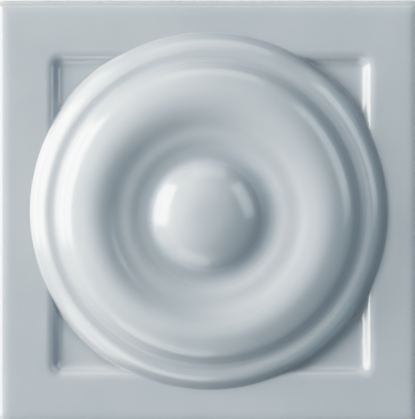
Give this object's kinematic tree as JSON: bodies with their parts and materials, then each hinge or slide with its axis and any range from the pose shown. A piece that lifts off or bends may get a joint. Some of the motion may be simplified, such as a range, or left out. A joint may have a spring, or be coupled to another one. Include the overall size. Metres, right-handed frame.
{
  "type": "tile insert",
  "caption": "Square glazed ceramic tile insert with a turned rosette, centre button and rim bead, standing in a sunk square panel.",
  "frame": {"origin": "centre of the flat back face", "axes": "+Z out of the back towards the relief face, +X to the right of the face and +Y to its top as in the picture"},
  "size_m": [0.05, 0.05, 0.0106],
  "materials": {
    "blue_grey_glaze": "gloss"
  },
  "bodies": {
    "root": {"tile_insert": "blue_grey_glaze"}
  },
  "joints": []
}
